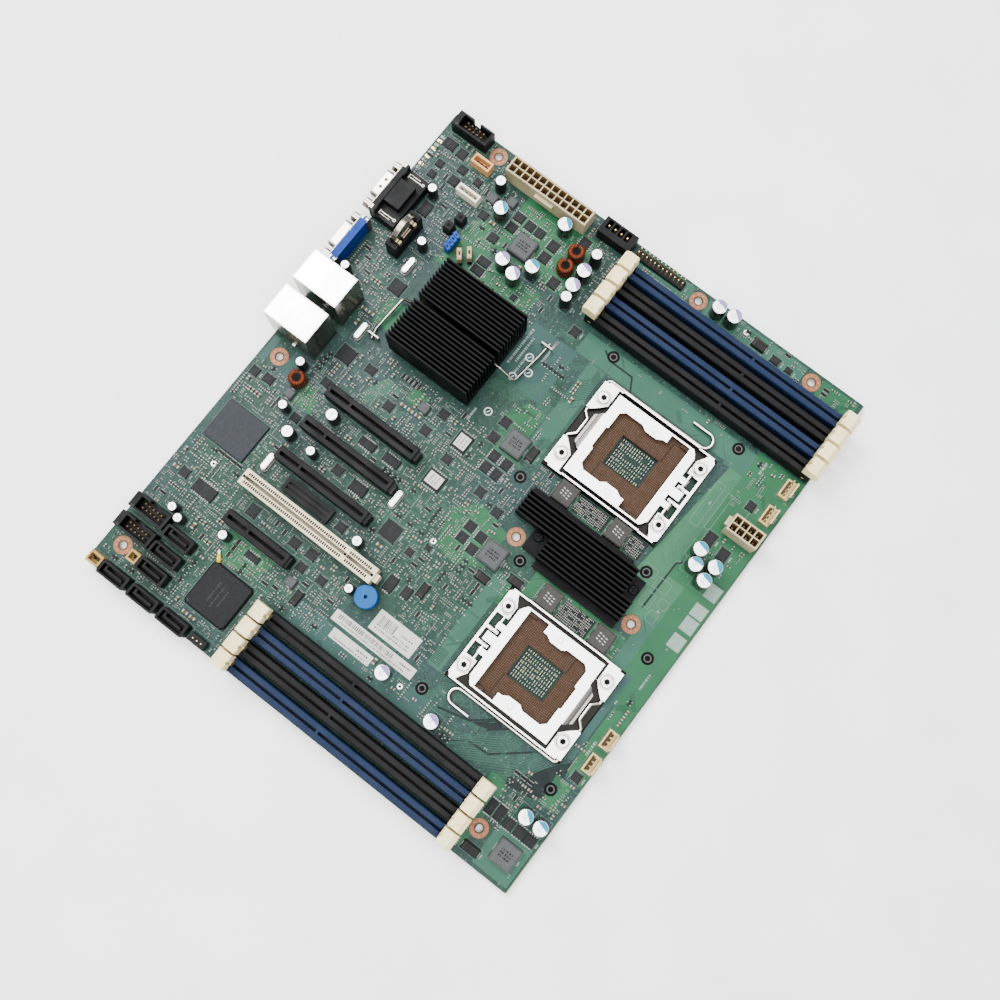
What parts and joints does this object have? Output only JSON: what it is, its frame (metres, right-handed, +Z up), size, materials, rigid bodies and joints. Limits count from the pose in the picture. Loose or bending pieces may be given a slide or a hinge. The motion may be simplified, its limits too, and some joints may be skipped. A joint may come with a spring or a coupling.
{
  "type": "motherboard",
  "caption": "Dual-processor server motherboard with hinged socket plates and levers, latched memory slots, expansion slots, finned heatsinks and rear ports.",
  "frame": {"origin": "centre of the mounting hole nearest the middle of the rear edge, on the underside of the circuit board", "axes": "+X along the rear edge towards the main power connector, +Y towards the rear ports, +Z up from the board"},
  "size_m": [0.3055, 0.2733, 0.0326],
  "materials": {
    "board_laminate": "solder mask over glass laminate",
    "socket_plastic": "moulded",
    "stainless_steel": "bright stamped",
    "blue_plastic": "moulded",
    "black_plastic": "moulded",
    "ivory_plastic": "moulded",
    "chip_mould": "fine matt",
    "black_anodised": "black anodised",
    "tin_plate": "bright tin",
    "video_blue": "moulded",
    "cell_steel": "polished",
    "buzzer_blue": "moulded",
    "gold_pins": "plated",
    "tan_plastic": "moulded",
    "capacitor_can": "bright",
    "ferrite_grey": "pressed powder",
    "tantalum_black": "moulded"
  },
  "bodies": {
    "board": {"battery_holder": "black_plastic", "black_memory_slots": "black_plastic", "blue_memory_slots": "blue_plastic", "box_headers": "black_plastic", "buzzer": "buzzer_blue", "chipset_heatsink": "black_anodised", "chipset_heatsink_clip": "stainless_steel", "circuit_board": "board_laminate", "clip_anchor_loops": "stainless_steel", "connector_pins": "gold_pins", "cpu1_socket_body": "socket_plastic", "cpu1_socket_frame": "stainless_steel", "cpu2_socket_body": "socket_plastic", "cpu2_socket_frame": "stainless_steel", "cpu_back_plates": "stainless_steel", "cpu_power_connector": "ivory_plastic", "crystals": "tin_plate", "dsub_shells": "tin_plate", "electrolytic_capacitors": "capacitor_can", "fan_and_wafer_headers": "tan_plastic", "inductors": "ferrite_grey", "lan_usb_inserts": "black_plastic", "lan_usb_shells": "tin_plate", "large_packages": "chip_mould", "logic_chips": "chip_mould", "machine_screws": "stainless_steel", "main_power_connector": "ivory_plastic", "mezzanine_connector": "black_plastic", "pci_slot": "ivory_plastic", "pcie_slots": "black_plastic", "pin_headers": "black_plastic", "polymer_capacitors": "capacitor_can", "power_transistors": "chip_mould", "psu_signal_connector": "black_plastic", "regulator_heatsink": "black_anodised", "sata_connectors": "black_plastic", "serial_connector": "black_plastic", "tantalum_capacitors": "tantalum_black", "vga_connector": "video_blue"},
    "cpu1_slot1_rear_latch": {"cpu1_slot1_rear_latch": "ivory_plastic"},
    "cpu1_slot1_front_latch": {"cpu1_slot1_front_latch": "ivory_plastic"},
    "cpu1_slot2_rear_latch": {"cpu1_slot2_rear_latch": "ivory_plastic"},
    "cpu1_slot2_front_latch": {"cpu1_slot2_front_latch": "ivory_plastic"},
    "cpu1_slot3_rear_latch": {"cpu1_slot3_rear_latch": "ivory_plastic"},
    "cpu1_slot3_front_latch": {"cpu1_slot3_front_latch": "ivory_plastic"},
    "cpu1_slot4_rear_latch": {"cpu1_slot4_rear_latch": "ivory_plastic"},
    "cpu1_slot4_front_latch": {"cpu1_slot4_front_latch": "ivory_plastic"},
    "cpu2_slot1_rear_latch": {"cpu2_slot1_rear_latch": "ivory_plastic"},
    "cpu2_slot1_front_latch": {"cpu2_slot1_front_latch": "ivory_plastic"},
    "cpu2_slot2_rear_latch": {"cpu2_slot2_rear_latch": "ivory_plastic"},
    "cpu2_slot2_front_latch": {"cpu2_slot2_front_latch": "ivory_plastic"},
    "cpu2_slot3_rear_latch": {"cpu2_slot3_rear_latch": "ivory_plastic"},
    "cpu2_slot3_front_latch": {"cpu2_slot3_front_latch": "ivory_plastic"},
    "cpu2_slot4_rear_latch": {"cpu2_slot4_rear_latch": "ivory_plastic"},
    "cpu2_slot4_front_latch": {"cpu2_slot4_front_latch": "ivory_plastic"},
    "cpu1_load_plate": {"cpu1_load_plate": "stainless_steel"},
    "cpu1_load_lever": {"cpu1_load_lever": "stainless_steel"},
    "cpu2_load_plate": {"cpu2_load_plate": "stainless_steel"},
    "cpu2_load_lever": {"cpu2_load_lever": "stainless_steel"},
    "coin_cell": {"coin_cell": "cell_steel"}
  },
  "joints": [
    {"name": "cpu1_slot1_rear_latch_hinge", "type": "hinge", "parent": "board", "child": "cpu1_slot1_rear_latch", "pos_m": [0.11593, -0.11664, 0.0044], "axis": [-1, 0, 0], "range_deg": [0, 25]},
    {"name": "cpu1_slot1_front_latch_hinge", "type": "hinge", "parent": "board", "child": "cpu1_slot1_front_latch", "pos_m": [0.11593, -0.25214, 0.0044], "axis": [1, 0, 0], "range_deg": [0, 25]},
    {"name": "cpu1_slot2_rear_latch_hinge", "type": "hinge", "parent": "board", "child": "cpu1_slot2_rear_latch", "pos_m": [0.12583, -0.11664, 0.0044], "axis": [-1, 0, 0], "range_deg": [0, 25]},
    {"name": "cpu1_slot2_front_latch_hinge", "type": "hinge", "parent": "board", "child": "cpu1_slot2_front_latch", "pos_m": [0.12583, -0.25214, 0.0044], "axis": [1, 0, 0], "range_deg": [0, 25]},
    {"name": "cpu1_slot3_rear_latch_hinge", "type": "hinge", "parent": "board", "child": "cpu1_slot3_rear_latch", "pos_m": [0.13573, -0.11664, 0.0044], "axis": [-1, 0, 0], "range_deg": [0, 25]},
    {"name": "cpu1_slot3_front_latch_hinge", "type": "hinge", "parent": "board", "child": "cpu1_slot3_front_latch", "pos_m": [0.13573, -0.25214, 0.0044], "axis": [1, 0, 0], "range_deg": [0, 25]},
    {"name": "cpu1_slot4_rear_latch_hinge", "type": "hinge", "parent": "board", "child": "cpu1_slot4_rear_latch", "pos_m": [0.14563, -0.11664, 0.0044], "axis": [-1, 0, 0], "range_deg": [0, 25]},
    {"name": "cpu1_slot4_front_latch_hinge", "type": "hinge", "parent": "board", "child": "cpu1_slot4_front_latch", "pos_m": [0.14563, -0.25214, 0.0044], "axis": [1, 0, 0], "range_deg": [0, 25]},
    {"name": "cpu2_slot1_rear_latch_hinge", "type": "hinge", "parent": "board", "child": "cpu2_slot1_rear_latch", "pos_m": [-0.13557, -0.08064, 0.0044], "axis": [-1, 0, 0], "range_deg": [0, 25]},
    {"name": "cpu2_slot1_front_latch_hinge", "type": "hinge", "parent": "board", "child": "cpu2_slot1_front_latch", "pos_m": [-0.13557, -0.21614, 0.0044], "axis": [1, 0, 0], "range_deg": [0, 25]},
    {"name": "cpu2_slot2_rear_latch_hinge", "type": "hinge", "parent": "board", "child": "cpu2_slot2_rear_latch", "pos_m": [-0.12607, -0.08064, 0.0044], "axis": [-1, 0, 0], "range_deg": [0, 25]},
    {"name": "cpu2_slot2_front_latch_hinge", "type": "hinge", "parent": "board", "child": "cpu2_slot2_front_latch", "pos_m": [-0.12607, -0.21614, 0.0044], "axis": [1, 0, 0], "range_deg": [0, 25]},
    {"name": "cpu2_slot3_rear_latch_hinge", "type": "hinge", "parent": "board", "child": "cpu2_slot3_rear_latch", "pos_m": [-0.11657, -0.08064, 0.0044], "axis": [-1, 0, 0], "range_deg": [0, 25]},
    {"name": "cpu2_slot3_front_latch_hinge", "type": "hinge", "parent": "board", "child": "cpu2_slot3_front_latch", "pos_m": [-0.11657, -0.21614, 0.0044], "axis": [1, 0, 0], "range_deg": [0, 25]},
    {"name": "cpu2_slot4_rear_latch_hinge", "type": "hinge", "parent": "board", "child": "cpu2_slot4_rear_latch", "pos_m": [-0.10707, -0.08064, 0.0044], "axis": [-1, 0, 0], "range_deg": [0, 25]},
    {"name": "cpu2_slot4_front_latch_hinge", "type": "hinge", "parent": "board", "child": "cpu2_slot4_front_latch", "pos_m": [-0.10707, -0.21614, 0.0044], "axis": [1, 0, 0], "range_deg": [0, 25]},
    {"name": "cpu1_load_lever_hinge", "type": "hinge", "parent": "board", "child": "cpu1_load_lever", "pos_m": [0.06578, -0.14364, 0.0037], "axis": [-1, 0, 0], "range_deg": [0, 130]},
    {"name": "cpu1_load_plate_hinge", "type": "hinge", "parent": "board", "child": "cpu1_load_plate", "pos_m": [0.06578, -0.20644, 0.0061], "axis": [1, 0, 0], "range_deg": [0, 110]},
    {"name": "cpu2_load_lever_hinge", "type": "hinge", "parent": "board", "child": "cpu2_load_lever", "pos_m": [-0.04867, -0.23809, 0.0037], "axis": [1, 0, 0], "range_deg": [0, 130]},
    {"name": "cpu2_load_plate_hinge", "type": "hinge", "parent": "board", "child": "cpu2_load_plate", "pos_m": [-0.04867, -0.17529, 0.0061], "axis": [-1, 0, 0], "range_deg": [0, 110]},
    {"name": "coin_cell_slide", "type": "slide", "parent": "board", "child": "coin_cell", "axis": [0, 0, 1], "range_m": [0, 0.014]}
  ]
}
